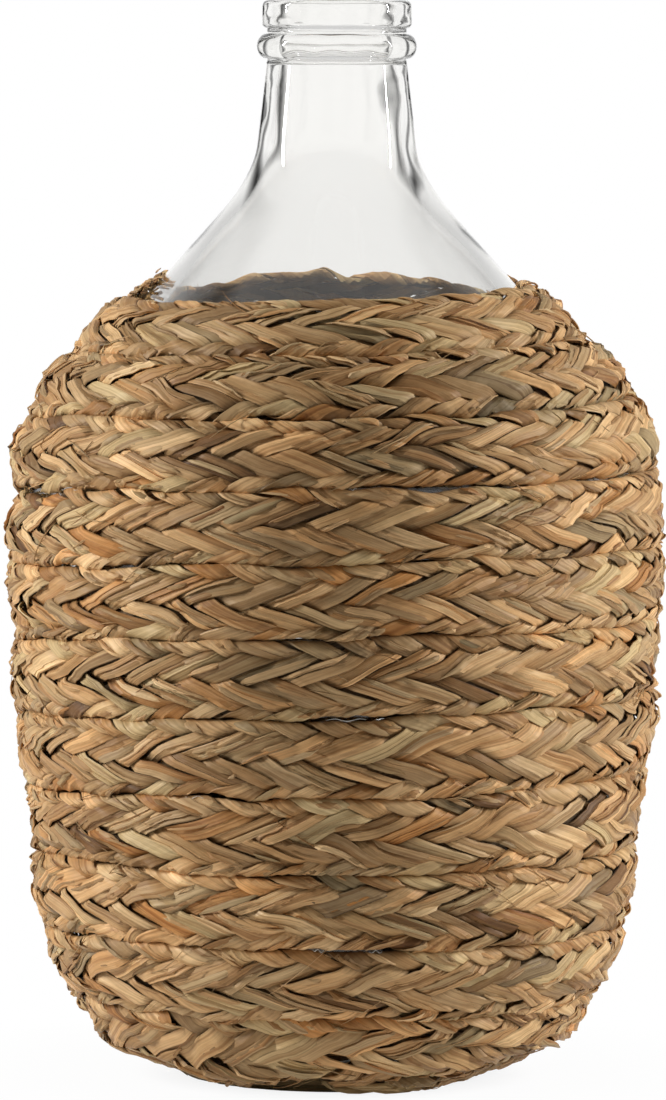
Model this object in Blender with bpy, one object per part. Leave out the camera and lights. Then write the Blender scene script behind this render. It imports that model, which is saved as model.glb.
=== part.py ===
"""A demijohn of clear glass with a flat seagrass plait wound up its body.

Metres, +Z up, with the origin under the middle of the foot. Two pieces: the glass, turned about
the Z axis, and the plait, one unbroken band that climbs from the foot to the shoulder and meets
its own last turn edge to edge.
"""

import math

import bmesh
import bpy
import numpy as np
from mathutils.kdtree import KDTree

# The glass from the floor up, each stretch with its own height: they add up to 450 mm
HEEL_HEIGHT = 0.074
BODY_HEIGHT = 0.161
SHOULDER_RISE = 0.0583
CONE_HEIGHT = 0.0584
FLARE_HEIGHT = 0.0393
NECK_HEIGHT = 0.0345
RING_HEIGHT = 0.0105
GROOVE_HEIGHT = 0.0023
LIP_HEIGHT = 0.0117

# Outside radii of the glass, from the floor up
FOOT_RADIUS = 0.060
HEEL_RADIUS = 0.1165
BELLY_RADIUS = 0.129
SHOULDER_RADIUS = 0.1095
FLARE_RADIUS = 0.057
NECK_BASE_RADIUS = 0.033
NECK_TOP_RADIUS = 0.0292
RING_RADIUS = 0.0334
LIP_RADIUS = 0.0312
LIP_ROUNDING = 0.0026

# Thickness of the glass
NECK_WALL = 0.0054
FLARE_WALL = 0.0062
SHOULDER_WALL = 0.0056
BODY_WALL = 0.0046
FOOT_WALL = 0.0062
MOUTH_WIDENING = 0.0009
MOUTH_ROUNDING = 0.0012

# The foot: a flat land to stand on round a dome pushed up into the bottle
FOOT_LAND = 0.010
DOME_HEIGHT = 0.014
FLOOR_THICKNESS = 0.007

# Directions of the outline, up from level, and how far its curves keep to them
FOOT_ANGLE = math.radians(25)
BODY_ANGLE = math.radians(83)
HEEL_PULL_SHARE = 0.31
BODY_PULL_SHARE = 0.37
SHOULDER_PULL_SHARE = 0.38
FLARE_PULL_SHARE = 0.34
DOME_PULL_SHARE = 0.45

# The plait, measured along the glass that it lies on
PLAIT_WIDTH = 0.0299
PLAIT_THICKNESS = 0.0095
ROW_GAP = 0.0008
SEAT_CLEARANCE = 0.0006
FOOT_MARGIN = 0.0045
BARE_CONE = 0.0218
START_WIDTH = 0.0136
END_WIDTH = 0.018
START_AZIMUTH = math.radians(265)
START_DROOP = math.radians(30)
END_AZIMUTH = math.radians(190)
END_TAPER = math.radians(35)
END_THICKNESS_SHARE = 0.5

# How the rows, laid by hand, sway: low on the right, high on the left and lifted in front
LOW_ROW_SWAY = 0.0058
HIGH_ROW_SWAY = 0.0020
SWAY_CHANGE_FROM = 0.115
SWAY_CHANGE_TO = 0.165
FRONT_LIFT = 0.005
LIFT_FROM = 0.139
LIFT_TO = 0.311

# The leaves on the plait's face: each steps one cell along the plait for each of its nine cells
# across, and passes under another where its rib turns back
CELL_LENGTH = 0.0086
LEAF_RELIEF = 0.0016

# The plait's section, as shares of its width and of its thickness, from the glass outwards
BACK_SHARES = (
    (-0.5, 0.42),
    (-0.43, 0.0),
    (0.0, 0.0),
    (0.43, 0.0),
    (0.5, 0.42),
)
FACE_SHARES = (
    (0.36, 0.94),
    (0.0, 1.0),
    (-0.36, 0.94),
)
# How far along each point of the face lies, as shares of a cell
SLANT_SHARES = (1.5, -1.5, 1.5)

# Fineness
LOOP_POINTS = 24
GLASS_SEGMENTS = 48
CURVE_STEPS = 6
BEAD_STEPS = 3
EDGE_STEPS = 2
WALK_STEPS = 60
WALK_ANGLE = math.radians(2)
GAP_SAMPLES = 4
SCREW_MERGE = 0.0001
WELD_DISTANCE = 0.00001
SMOOTH_ANGLE = math.radians(35)
FULL_TURN = 2 * math.pi

GLASS_COLOUR = (0.86, 0.90, 0.88, 1)
SEAGRASS_COLOUR = (0.42, 0.27, 0.14, 1)


def direction(angle):
    return np.array((math.cos(angle), math.sin(angle)))


def bend(start, start_way, end, end_way, pull_share, steps):
    """Points of a curve that leaves start along start_way and reaches end along end_way."""
    start, end = np.array(start), np.array(end)
    pull = pull_share * np.linalg.norm(end - start)
    near = start + pull * np.array(start_way)
    far = end - pull * np.array(end_way)
    t = np.linspace(0, 1, steps + 1)[:, None]
    return (1 - t) ** 3 * start + 3 * t * (1 - t) ** 2 * near + 3 * t**2 * (1 - t) * far + t**3 * end


def quarter_ellipse(centre, reach, rise, from_angle, steps):
    """Points of a quarter turn clockwise round centre, from from_angle."""
    turn = from_angle - np.linspace(0, math.pi / 2, steps + 1)
    return np.column_stack((centre[0] + reach * np.cos(turn), centre[1] + rise * np.sin(turn)))


def side_line(steps):
    """The outside of the glass from the foot up to the ring, as points with the wall at each."""
    foot = (FOOT_RADIUS, 0)
    heel = (HEEL_RADIUS, HEEL_HEIGHT)
    belly = (BELLY_RADIUS, heel[1] + BODY_HEIGHT)
    shoulder = (SHOULDER_RADIUS, belly[1] + SHOULDER_RISE)
    flare = (FLARE_RADIUS, shoulder[1] + CONE_HEIGHT)
    neck_base = (NECK_BASE_RADIUS, flare[1] + FLARE_HEIGHT)
    neck_top = (NECK_TOP_RADIUS, neck_base[1] + NECK_HEIGHT)
    upright = direction(math.pi / 2)
    cone_way = np.subtract(flare, shoulder) / math.dist(flare, shoulder)
    neck_way = np.subtract(neck_top, neck_base) / math.dist(neck_top, neck_base)
    foot_way, body_way = direction(FOOT_ANGLE), direction(BODY_ANGLE)
    sections = (
        (bend(foot, foot_way, heel, body_way, HEEL_PULL_SHARE, steps), FOOT_WALL, BODY_WALL),
        (bend(heel, body_way, belly, upright, BODY_PULL_SHARE, steps // 2), BODY_WALL, BODY_WALL),
        (bend(belly, upright, shoulder, cone_way, SHOULDER_PULL_SHARE, steps), BODY_WALL, SHOULDER_WALL),
        (np.array((shoulder, flare)), SHOULDER_WALL, FLARE_WALL),
        (bend(flare, cone_way, neck_base, neck_way, FLARE_PULL_SHARE, steps), FLARE_WALL, FLARE_WALL),
        (np.array((neck_base, neck_top)), FLARE_WALL, NECK_WALL),
    )
    points = np.vstack([sections[0][0][:1]] + [line[1:] for line, _, _ in sections])
    walls = [sections[0][1]]
    for line, lower_wall, upper_wall in sections:
        walls.extend(np.linspace(lower_wall, upper_wall, len(line))[1:])
    return points, np.array(walls)


def outward(points):
    """The outward normal at each point of a side line, which runs upwards."""
    ways = np.gradient(points, axis=0)
    ways /= np.linalg.norm(ways, axis=1)[:, None]
    return np.column_stack((ways[:, 1], -ways[:, 0]))


def glass_outline():
    """The half section of the glass: up the inside, over the lip, down the outside and under."""
    side, walls = side_line(CURVE_STEPS)
    ring_bottom = side[-1][1]
    ring_top = ring_bottom + RING_HEIGHT
    lip_bottom = ring_top + GROOVE_HEIGHT
    mouth_height = lip_bottom + LIP_HEIGHT
    inner_side = side - outward(side) * walls[:, None]
    level = direction(0)
    floor_middle = (0, DOME_HEIGHT + FLOOR_THICKNESS)
    inner_floor = bend(floor_middle, level, inner_side[0], level, DOME_PULL_SHARE, CURVE_STEPS)
    bore_radius = NECK_TOP_RADIUS - NECK_WALL
    mouth_radius = bore_radius + MOUTH_WIDENING
    bore = [(bore_radius, ring_bottom), (mouth_radius, lip_bottom)]
    inner_edge = (mouth_radius + MOUTH_ROUNDING, mouth_height - MOUTH_ROUNDING)
    mouth = quarter_ellipse(inner_edge, MOUTH_ROUNDING, MOUTH_ROUNDING, math.pi, EDGE_STEPS)
    outer_edge = (LIP_RADIUS - LIP_ROUNDING, mouth_height - LIP_ROUNDING)
    lip_top = quarter_ellipse(outer_edge, LIP_ROUNDING, LIP_ROUNDING, math.pi / 2, BEAD_STEPS)
    lip_depth = LIP_RADIUS - NECK_TOP_RADIUS
    lip_corner = (NECK_TOP_RADIUS, lip_bottom + lip_depth)
    lip_under = quarter_ellipse(lip_corner, lip_depth, lip_depth, 0, EDGE_STEPS)
    ring_centre = (NECK_TOP_RADIUS, ring_top - RING_HEIGHT / 2)
    ring_reach = RING_RADIUS - NECK_TOP_RADIUS
    ring_over = quarter_ellipse(ring_centre, ring_reach, RING_HEIGHT / 2, math.pi / 2, BEAD_STEPS)
    ring_under = quarter_ellipse(ring_centre, ring_reach, RING_HEIGHT / 2, 0, BEAD_STEPS)
    foot_inside = (FOOT_RADIUS - FOOT_LAND, 0)
    dome = bend(foot_inside, -level, (0, DOME_HEIGHT), -level, DOME_PULL_SHARE, CURVE_STEPS)
    parts = (
        inner_floor[:-1],
        inner_side[:-1],
        bore,
        mouth,
        lip_top,
        lip_under,
        ring_over,
        ring_under[1:-1],
        side[::-1],
        dome,
    )
    return np.vstack(parts)


def new_object(name, mesh, material, parent):
    mesh.materials.append(material)
    mesh.shade_smooth()
    mesh.set_sharp_from_angle(angle=SMOOTH_ANGLE)
    obj = bpy.data.objects.new(name, mesh)
    obj.parent = parent
    bpy.context.scene.collection.objects.link(obj)
    return obj


def make_glass(material, parent):
    """The glass, turned from its outline by a Screw modifier."""
    shape = bmesh.new()
    outline = [shape.verts.new((radius, 0, height)) for radius, height in glass_outline()]
    for first, second in zip(outline, outline[1:]):
        shape.edges.new((first, second))
    mesh = bpy.data.meshes.new("glass_bottle")
    shape.to_mesh(mesh)
    shape.free()
    glass = new_object("glass_bottle", mesh, material, parent)
    screw = glass.modifiers.new("turned", "SCREW")
    screw.axis = "Z"
    screw.steps = GLASS_SEGMENTS
    screw.render_steps = GLASS_SEGMENTS
    screw.use_merge_vertices = True
    screw.merge_threshold = SCREW_MERGE
    screw.use_smooth_shade = True
    return glass


class Winding:
    """Where the plait lies: its seams, as distances along the side line, by the angle wound."""

    def __init__(self):
        self.points, _ = side_line(WALK_STEPS)
        self.normals = outward(self.points)
        steps = np.linalg.norm(np.diff(self.points, axis=0), axis=1)
        self.reach = np.concatenate(((0,), np.cumsum(steps)))
        cone_top = HEEL_HEIGHT + BODY_HEIGHT + SHOULDER_RISE + CONE_HEIGHT
        self.bottom = PLAIT_THICKNESS + FOOT_MARGIN
        self.top = np.interp(cone_top, self.points[:, 1], self.reach) - BARE_CONE
        rows = (self.top - self.bottom) / (PLAIT_WIDTH + ROW_GAP)
        wound = round(rows) * FULL_TURN - (START_AZIMUTH - END_AZIMUTH)
        self.stations = round(wound / (FULL_TURN / LOOP_POINTS))
        self.end = START_AZIMUTH + self.stations * FULL_TURN / LOOP_POINTS
        self.start_seam = self.bottom + START_WIDTH
        free_rise = self.top - END_WIDTH - self.start_seam
        drift = self.sway(self.end, self.top) - self.sway(START_AZIMUTH, self.start_seam)
        self.rise = (free_rise - drift) / (self.end - FULL_TURN - START_AZIMUTH)
        self.angles = np.arange(START_AZIMUTH, self.end + WALK_ANGLE, WALK_ANGLE)
        middle = np.mean([self.edges(angle) for angle in self.angles], axis=1)
        radius = np.interp(middle, self.reach, self.points[:, 0]) + PLAIT_THICKNESS / 2
        steps = np.hypot(radius[1:] * np.diff(self.angles), np.diff(middle))
        self.lengths = np.concatenate(((0,), np.cumsum(steps)))
        self.length = np.interp(self.end, self.angles, self.lengths)

    def sway(self, angle, reach):
        """How far a row laid by hand strays from its even climb."""
        change = np.clip((reach - SWAY_CHANGE_FROM) / (SWAY_CHANGE_TO - SWAY_CHANGE_FROM), 0, 1)
        sideways = LOW_ROW_SWAY + (HIGH_ROW_SWAY - LOW_ROW_SWAY) * change
        lifted = np.clip((reach - LIFT_FROM) / (LIFT_TO - LIFT_FROM), 0, 1)
        return -sideways * np.cos(angle) - FRONT_LIFT * np.sin(math.pi * lifted) * np.sin(angle)

    def seam(self, angle):
        """The upper edge of the row that passes this angle."""
        even = self.start_seam + self.rise * (angle - START_AZIMUTH)
        return even + self.sway(angle, even) - self.sway(START_AZIMUTH, self.start_seam)

    def edges(self, angle):
        """The lower and upper edge of the plait at this angle.

        The first turn droops to the bottom, and rises just before it meets its own start.
        """
        below = angle - FULL_TURN
        risen = min(max(1 - (START_AZIMUTH - below) / START_DROOP, 0), 1)
        lower = self.bottom + max(self.seam(below) - self.bottom, 0) * risen + ROW_GAP / 2
        upper = min(self.seam(angle), self.top) - ROW_GAP / 2
        return lower, upper

    def thickness(self, angle):
        """The plait's thickness over its seat, drawn in at both cut ends."""
        from_end = min(angle - START_AZIMUTH, self.end - angle) / END_TAPER
        return PLAIT_THICKNESS * min(1, END_THICKNESS_SHARE + (1 - END_THICKNESS_SHARE) * from_end)

    def place(self, angle, reach, height):
        """The point at this angle and distance up the side line, and this height over the glass."""
        radius, z = (np.interp(reach, self.reach, column) for column in self.points.T)
        across, up = (np.interp(reach, self.reach, column) for column in self.normals.T)
        radius += across * height
        return radius * math.cos(angle), radius * math.sin(angle), z + up * height

    def section_point(self, angle, across, out, dip=0):
        """A point of the section at this angle, by its shares across and out, less a dip."""
        lower, upper = self.edges(angle)
        seat = SEAT_CLEARANCE + BELLY_RADIUS * (1 - math.cos(math.pi / LOOP_POINTS))
        thickness = self.thickness(angle)
        height = seat + out * (thickness - seat) - dip * thickness / PLAIT_THICKNESS
        return self.place(angle, (lower + upper) / 2 + across * (upper - lower), height)

    def ring(self, step):
        """The points round the plait, one cell on from the ring before, with the angle of each.

        Its back and edges keep to LOOP_POINTS in a turn, so most of their points fall together.
        The face has a leaf's ridge on every second ring and the dip beside it on the others.
        """
        within = np.clip(step * CELL_LENGTH, 0, self.length)
        angle = np.interp(within, self.lengths, self.angles)
        station = FULL_TURN / LOOP_POINTS
        coarse = START_AZIMUTH + round((angle - START_AZIMUTH) / station) * station
        points = [self.section_point(coarse, across, out) for across, out in BACK_SHARES]
        angles = [coarse] * len(BACK_SHARES)
        for (across, out), slant in zip(FACE_SHARES, SLANT_SHARES):
            length = (step + slant) * CELL_LENGTH
            dip = LEAF_RELIEF if step % 2 and 0 < length < self.length else 0
            angle = np.interp(np.clip(length, 0, self.length), self.lengths, self.angles)
            points.append(self.section_point(angle, across, out, dip))
            angles.append(angle)
        return points, angles


def least_self_gap(rings, angles):
    """The least distance between one turn's surface and the next, measured on points of both."""
    shares = np.arange(GAP_SAMPLES)[:, None] / GAP_SAMPLES
    across = [rings[:, :, None] * (1 - shares) + np.roll(rings, -1, axis=1)[:, :, None] * shares]
    across.append((across[0][1:] + across[0][:-1]) / 2)
    turns = [np.repeat(angles[:, :, None], GAP_SAMPLES, axis=2)]
    turns.append((turns[0][1:] + turns[0][:-1]) / 2)
    points = np.concatenate([line.reshape(-1, 3) for line in across])
    angles = np.concatenate([line.ravel() for line in turns])
    tree = KDTree(len(points))
    for index, point in enumerate(points):
        tree.insert(point, index)
    tree.balance()
    least = math.inf
    for point, angle in zip(points, angles):
        for _, index, distance in tree.find_range(point, 2 * ROW_GAP):
            if abs(angles[index] - angle) > math.pi:
                least = min(least, distance)
    return least


def make_plait(material, parent):
    """The plait, a grid wrapped round its rings of points, with both ends filled."""
    winding = Winding()
    overrun = math.ceil(max(SLANT_SHARES))
    steps = range(-overrun, math.ceil(winding.length / CELL_LENGTH) + overrun + 1)
    made = [winding.ring(step) for step in steps]
    rings, angles = (np.array(column) for column in zip(*made))
    count, around = len(rings) - 1, len(BACK_SHARES) + len(FACE_SHARES)
    shape = bmesh.new()
    bmesh.ops.create_grid(shape, x_segments=count, y_segments=around, size=1)
    for vert in shape.verts:
        step = round((vert.co.x + 1) / 2 * count)
        corner = round((vert.co.y + 1) / 2 * around) % around
        vert.co = rings[step, corner]
    bmesh.ops.remove_doubles(shape, verts=shape.verts, dist=WELD_DISTANCE)
    bmesh.ops.holes_fill(shape, edges=[edge for edge in shape.edges if edge.is_boundary])
    bmesh.ops.recalc_face_normals(shape, faces=shape.faces)
    mesh = bpy.data.meshes.new("seagrass_plait")
    shape.to_mesh(mesh)
    shape.free()
    turns = (winding.end - START_AZIMUTH) / FULL_TURN
    print(f"plait: {turns:.2f} turns, least gap to itself {least_self_gap(rings, angles) * 1000:.2f} mm")
    return new_object("seagrass_plait", mesh, material, parent)


def new_material(name, colour, roughness, transmission):
    material = bpy.data.materials.new(name)
    material.use_nodes = True
    shader = material.node_tree.nodes["Principled BSDF"]
    shader.inputs["Base Color"].default_value = colour
    shader.inputs["Roughness"].default_value = roughness
    shader.inputs["Metallic"].default_value = 0
    shader.inputs["Transmission Weight"].default_value = transmission
    return material


def main():
    for obj in list(bpy.data.objects):
        bpy.data.objects.remove(obj)
    demijohn = bpy.data.objects.new("demijohn", None)
    bpy.context.scene.collection.objects.link(demijohn)
    make_glass(new_material("clear_glass", GLASS_COLOUR, roughness=0.02, transmission=1), demijohn)
    make_plait(new_material("dried_seagrass", SEAGRASS_COLOUR, roughness=0.7, transmission=0), demijohn)


if __name__ == "__main__":
    main()
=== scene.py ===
"""A clear glass demijohn in a cover of plaited seagrass, on a plain white ground.

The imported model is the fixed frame. The glass is turned again from the same outline, finer and
with the ripple of real glass, and the plait is laid leaf by leaf in the winding that it has there.
"""

import math
from functools import partial

import bmesh
import bpy
import numpy as np
from bpy.props import FloatProperty, FloatVectorProperty, IntProperty, PointerProperty
from mathutils import Matrix, Vector


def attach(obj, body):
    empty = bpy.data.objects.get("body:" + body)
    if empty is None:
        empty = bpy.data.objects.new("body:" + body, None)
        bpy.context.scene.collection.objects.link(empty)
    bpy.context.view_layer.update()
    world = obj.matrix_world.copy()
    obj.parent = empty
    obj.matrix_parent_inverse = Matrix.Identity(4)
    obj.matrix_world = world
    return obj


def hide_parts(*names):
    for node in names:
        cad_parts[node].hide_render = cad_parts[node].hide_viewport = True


bl_info = {
    "name": "Plaited demijohn",
    "version": (1, 0, 0),
    "blender": (4, 5, 0),
    "location": "View3D > Sidebar > Demijohn",
    "description": "Builds a glass demijohn with its plaited seagrass cover",
    "category": "Object",
}

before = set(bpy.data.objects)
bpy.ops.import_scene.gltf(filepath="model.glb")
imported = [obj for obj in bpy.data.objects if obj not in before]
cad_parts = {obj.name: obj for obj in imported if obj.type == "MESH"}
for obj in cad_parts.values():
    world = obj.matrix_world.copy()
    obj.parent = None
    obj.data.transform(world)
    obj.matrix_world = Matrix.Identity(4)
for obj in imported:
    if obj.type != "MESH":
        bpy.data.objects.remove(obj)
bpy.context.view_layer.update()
BODY = "root"

# The glass from the floor up: heights of its stretches
HEEL_HEIGHT = 0.074
BODY_HEIGHT = 0.161
SHOULDER_RISE = 0.0583
CONE_HEIGHT = 0.0584
FLARE_HEIGHT = 0.0393
NECK_HEIGHT = 0.0345
RING_HEIGHT = 0.0105
GROOVE_HEIGHT = 0.0023
LIP_HEIGHT = 0.0117

# Its outside radii
FOOT_RADIUS = 0.060
HEEL_RADIUS = 0.1165
BELLY_RADIUS = 0.129
SHOULDER_RADIUS = 0.1095
FLARE_RADIUS = 0.057
NECK_BASE_RADIUS = 0.033
NECK_TOP_RADIUS = 0.0292
RING_RADIUS = 0.0334
LIP_RADIUS = 0.0312
LIP_ROUNDING = 0.0026

# Its thickness
NECK_WALL = 0.0054
FLARE_WALL = 0.0062
SHOULDER_WALL = 0.0056
BODY_WALL = 0.0046
FOOT_WALL = 0.0062
MOUTH_WIDENING = 0.0009
MOUTH_ROUNDING = 0.0012
FOOT_LAND = 0.010
DOME_HEIGHT = 0.014
FLOOR_THICKNESS = 0.007

# Directions of the outline, up from level, and how far its curves keep to them
FOOT_ANGLE = math.radians(25)
BODY_ANGLE = math.radians(83)
HEEL_PULL_SHARE = 0.31
BODY_PULL_SHARE = 0.37
SHOULDER_PULL_SHARE = 0.38
FLARE_PULL_SHARE = 0.34
DOME_PULL_SHARE = 0.45

# The band of the plait, measured along the glass that it lies on
PLAIT_WIDTH = 0.0299
PLAIT_THICKNESS = 0.0095
ROW_GAP = 0.0008
FOOT_MARGIN = 0.0045
BARE_CONE = 0.0218
START_WIDTH = 0.0136
END_WIDTH = 0.018
START_AZIMUTH = math.radians(265)
START_DROOP = math.radians(30)
END_AZIMUTH = math.radians(190)
LOW_ROW_SWAY = 0.0058
HIGH_ROW_SWAY = 0.0020
SWAY_CHANGE_FROM = 0.115
SWAY_CHANGE_TO = 0.165
FRONT_LIFT = 0.005
LIFT_FROM = 0.139
LIFT_TO = 0.311
FULL_TURN = 2 * math.pi
LOOP_POINTS = 24
WALK_STEPS = 60
WALK_ANGLE = math.radians(2)
SPARE_ANGLE = math.radians(90)

# The turned glass: steps along its outline, and the slow waves that ripple its walls
OUTLINE_STEPS = 26
EDGE_STEPS = 8
WELD_DISTANCE = 0.00001
RIPPLE_SEED = 5
RIPPLE_TURNS = (1, 2, 3, 5, 7)
RIPPLE_TWIST = (-40, 40)
RIPPLE_RISE = (40, 160)
RIPPLE_PARTS = 2.2
# Finer ribs in the bore: where they set in, how many lie round it and how close they are up it
BORE_RIBS_FROM, BORE_RIBS_FADE = 0.405, 0.01
BORE_RIBS_ROUND, BORE_RIBS_UP = 11, 900
# The ripple leaves the floor and the rim true
CALM_FLOOR, FLOOR_FADE = 0.03, 0.03
CALM_RIM, RIM_FADE = 0.4485, 0.004

# The weave, in cells: from one crossing to the next a strand moves one cell along and one across
STRANDS = 9
TRAVERSE = 9
CROSSINGS = (1.5, 4.5, 7.5)
FOLD_REACH = 0.58
LAYER_SLOPE = 0.5
# Where a strand shows after each fold: from and to for the fold itself and for its long float
SHOWN_AT = (-1.2, 1.4, 4.2, 7.8)
RING_STATIONS = np.concatenate(
    (
        np.arange(-1.1, 1.0, 0.2),
        np.arange(1.05, 2.1, 0.19),
        np.arange(2.6, 3.9, 0.6),
        np.arange(4.0, 5.1, 0.19),
        np.arange(5.4, 6.9, 0.45),
        np.arange(7.0, 7.95, 0.19),
    )
)

# Points across a strand, as shares of its half width. It is two leaves side by side, and the
# points move by these shares with the line that parts them.
ACROSS_SHARES = np.array((-1.0, -0.9, -0.45, 0.0, 0.0, 0.45, 0.9, 1.0))
PARTING_SHARES = np.array((0, 0, 0.5, 1, 1, 0.5, 0, 0))
PARTING_HALF_WIDTH = 0.025
SLIVER_SHARES = np.array((-1.0, -0.55, 0.55, 1.0))
# The points that have one behind them on the hidden side
HIDDEN_SIDE = (6, 4, 3, 1)
SLIVER_HIDDEN_SIDE = (2, 1)
LEAF_SHARP_ANGLE = math.radians(34)
LEAF_WELD_DISTANCE = 0.000002

# What differs from leaf to leaf: spread, mean, least and most
LEAF_TRAITS = {
    "width": (0.14, 1.03, 0.75, 1.34),
    "lift": (0.00042, 0, -0.0008, 0.0009),
    "roll": (0.0006, 0.0004, -0.0008, 0.0016),
    "camber": (0.00025, 0.0001),
    "poke": (0.15, 0.12, -0.15, 0.5),
    "parting": (0.3, 0, -0.5, 0.5),
    "step": (0.00055, 0, -0.0009, 0.0009),
    "tone": (0.17, 0.36, 0, 0.8),
    "grey": (0.34, -0.02, 0, 0.8),
    "value": (0.48, 0.79, -0.3, 1.9),
    "value step": (0.35,),
    "tone step": (0.14,),
}
# Leaves with a share over these limits are rusty, bleached or browned
RUSTY_FROM, RUSTY_TONE = 0.93, 0.86
BLEACHED_FROM, BLEACHED_GREY, BLEACHED_VALUE = 0.93, 0.8, 2.0
BROWNED_FROM, BROWNED_TONE, BROWNED_VALUE = 0.98, 0.8, -0.5
# Painted shade: how much darker a leaf is painted where it dives under another, and along its edges
UNDER_SHADE, UNDER_SHADE_POWER, EDGE_SHADE = 1.6, 1.6, 0.8
# How the grain runs on it: its half width, and its length for each length of the band
LEAF_HALF_WIDTH, LEAF_STRETCH = 0.0031, 1.08

# Seams that stand open or, below zero, are closed: azimuth in degrees, height, half width and
# half length in radians
OPEN_SEAMS = (
    (200, 0.252, 0.0011, 0.45),
    (227, 0.220, 0.0008, 0.12),
    (272, 0.161, 0.0011, 0.13),
    (288, 0.248, 0.0012, 0.06),
    (244, 0.130, 0.0007, 0.10),
    (273, 0.065, 0.0007, 0.14),
    (248, 0.040, -0.0012, 0.30),
    (180, 0.109, 0.0008, 0.15),
)
# Threads of glue in them: azimuth in degrees, height and length
GLUE_THREADS = (
    (216, 0.2506, 0.013),
    (273, 0.2536, 0.003),
    (272, 0.1611, 0.016),
    (244, 0.1300, 0.008),
    (267, 0.0650, 0.004),
    (278, 0.0650, 0.005),
)
# Places where the rows are pressed in or stand out: azimuth in degrees, height and share
DENTS = (
    (180, 0.109, -0.42),
    (180, 0.193, -0.30),
    (180, 0.245, -0.34),
    (0, 0.114, -0.26),
    (0, 0.158, 0.30),
    (0, 0.178, -0.22),
    (0, 0.241, -0.20),
    (0, 0.288, 0.26),
)
DENT_REACH = 0.009
DENT_ANGLE = math.radians(16)
# The plait near the foot: reach up the glass, its height over it at the sides and at the front
FOOT_REACHES, SIDE_HEIGHTS, FRONT_HEIGHTS = np.transpose(
    (
        (0.012, 0.0026, 0.0057),
        (0.014, 0.0030, 0.0069),
        (0.017, 0.0034, 0.0087),
        (0.020, 0.0038, 0.0106),
        (0.024, 0.0049, 0.0122),
        (0.028, 0.0061, 0.0126),
        (0.032, 0.0078, 0.0126),
        (0.036, 0.0100, 0.0123),
        (0.040, 0.0112, 0.0115),
        (0.045, 0.0106, 0.0107),
        (0.050, 0.0101, 0.0103),
        (0.056, 0.0098, 0.0099),
        (0.062, 0.0092, 0.0092),
        (0.070, 0.0089, 0.0089),
    )
)

# The stage
WHITE = (1, 1, 1, 1)
FLOOR_RADIUS = 1.6
FLOOR_COLOUR = (0.9, 0.9, 0.9, 1)
# White from the edge of the bottle's shadow on, dark under the bottle: distance and level
FLOOR_GLOW = ((0, 0), (0.045, 0), (0.06, 0.86), (0.085, 0.96), (0.2, 1))
# From where on the glass mirrors and passes that white
FLOOR_IN_GLASS = (0.074, 0.09)
# Name, place, width and height, and share of the side light
LAMPS = (
    ("lamp_left", (-1.55, -0.15, 0.85), (0.12, 0.8), 1.0),
    ("lamp_right", (1.55, -0.15, 0.85), (0.06, 0.8), 0.95),
)
LAMP_AIM = (0, 0, 0.2)
CAMERA_ASIDE = -0.0009
CAMERA_PITCH = math.radians(4.0)
CAMERA_ROLL = math.radians(0.204)
# The panels round the bottle, and how far the gaps between them move aside with height
PANELS = 8
PANEL_SLANT = 0.95
# Directions of even light, and maps: the span that each reads and the span that it gives
LIT_FROM_RIGHT, EVEN_FRONT = (1, 0, 0.6), (0, -1, 0.9)
PANEL_MAP = (-1, -0.25, 0.01, 1)
CEILING_MAP = (0.12, 0.32, 1, 0.68)
RIGHT_MAP = (0.68, 0.85, 0, 0.6)
FRONT_MAP = (0.35, 0.6, 0, 0.85)

# The leaves' material
NOISE_SPAN = (0.3, 0.7)
STREAK_SPAN = (0.53, 0.66)
LINE_DARK, LINE_LIGHT = (0.71, 0.66, 0.60, 1), (1.13, 1.13, 1.13, 1)
STREAK_COLOUR = (0.50, 0.37, 0.26, 1)


def direction(angle):
    return np.array((math.cos(angle), math.sin(angle)))


def bend(start, start_way, end, end_way, pull_share, steps):
    """Points of a curve that leaves start along start_way and reaches end along end_way."""
    start, end = np.array(start), np.array(end)
    pull = pull_share * np.linalg.norm(end - start)
    near = start + pull * np.array(start_way)
    far = end - pull * np.array(end_way)
    t = np.linspace(0, 1, steps + 1)[:, None]
    leaving = (1 - t) ** 3 * start + 3 * t * (1 - t) ** 2 * near
    return leaving + 3 * t**2 * (1 - t) * far + t**3 * end


def quarter_ellipse(centre, reach, rise, from_angle, steps):
    """Points of a quarter turn clockwise round centre, from from_angle."""
    turn = from_angle - np.linspace(0, math.pi / 2, steps + 1)
    return np.column_stack((centre[0] + reach * np.cos(turn), centre[1] + rise * np.sin(turn)))


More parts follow.
